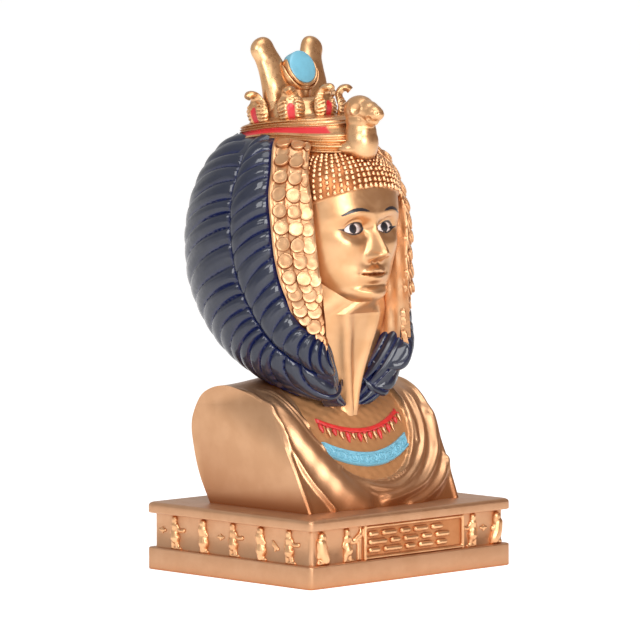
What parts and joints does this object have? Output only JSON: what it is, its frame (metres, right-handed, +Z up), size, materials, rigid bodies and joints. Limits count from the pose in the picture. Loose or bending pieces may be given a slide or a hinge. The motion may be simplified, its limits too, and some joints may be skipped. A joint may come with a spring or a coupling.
{
  "type": "egyptian queen bust",
  "caption": "Small cast-resin bust of an Egyptian queen with a rolled wig, cobra crown, horns and sun disc, on a plinth with a relief frieze.",
  "frame": {"origin": "centre of the plinth's underside, on the surface it stands on", "axes": "+Z up, the queen faces -Y, +X is her left"},
  "size_m": [0.066, 0.0653, 0.1255],
  "materials": {
    "painted_resin": "satin gold-bronze paint on cast resin, with navy, turquoise and red painted details"
  },
  "bodies": {
    "root": {"queen_bust": "painted_resin"}
  },
  "joints": []
}
